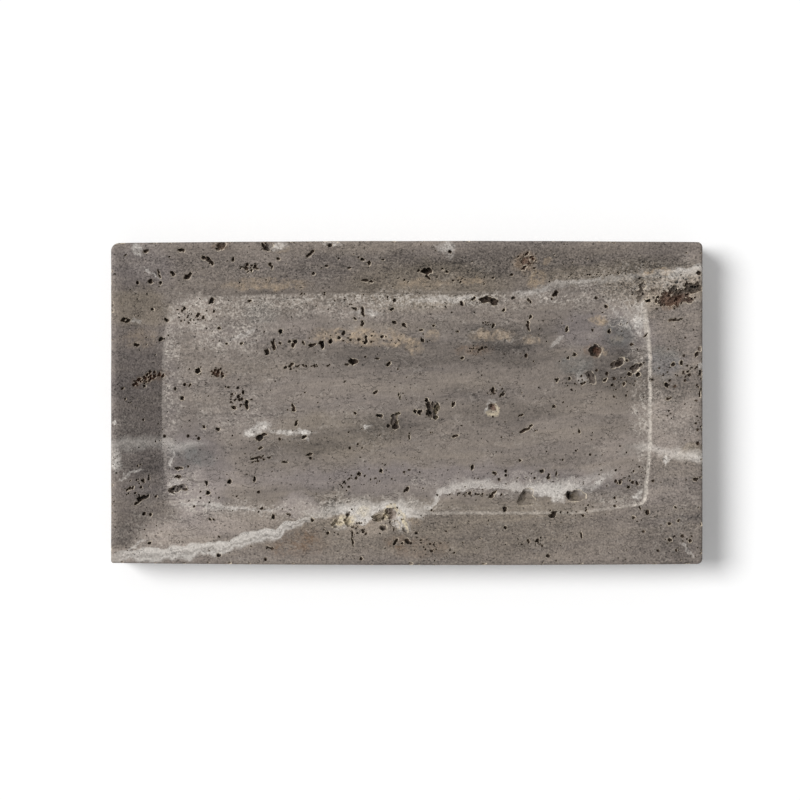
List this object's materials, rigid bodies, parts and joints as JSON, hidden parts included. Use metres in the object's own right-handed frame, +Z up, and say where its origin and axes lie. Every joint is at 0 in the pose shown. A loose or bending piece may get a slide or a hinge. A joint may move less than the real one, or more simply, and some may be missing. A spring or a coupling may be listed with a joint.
{
  "type": "travertine tray",
  "caption": "Rectangular tray carved from a block of grey-brown travertine, with sloping sides down to a sunk flat floor, on stick-on rubber feet, for holding small objects.",
  "frame": {"origin": "on the table plane under the middle of the tray, at the height of the feet's treads", "axes": "+X along the tray's length, +Y across it, +Z up out of the basin"},
  "size_m": [0.33, 0.18, 0.0272],
  "materials": {
    "travertine": "matte",
    "rubber": "matte",
    "adhesive": "satin"
  },
  "bodies": {
    "root": {"stone_tray": "travertine", "foot_front_left": "rubber", "foot_front_right": "rubber", "foot_rear_left": "rubber", "foot_rear_right": "rubber", "adhesive_disc_front_left": "adhesive", "adhesive_disc_front_right": "adhesive", "adhesive_disc_rear_left": "adhesive", "adhesive_disc_rear_right": "adhesive"}
  },
  "joints": []
}
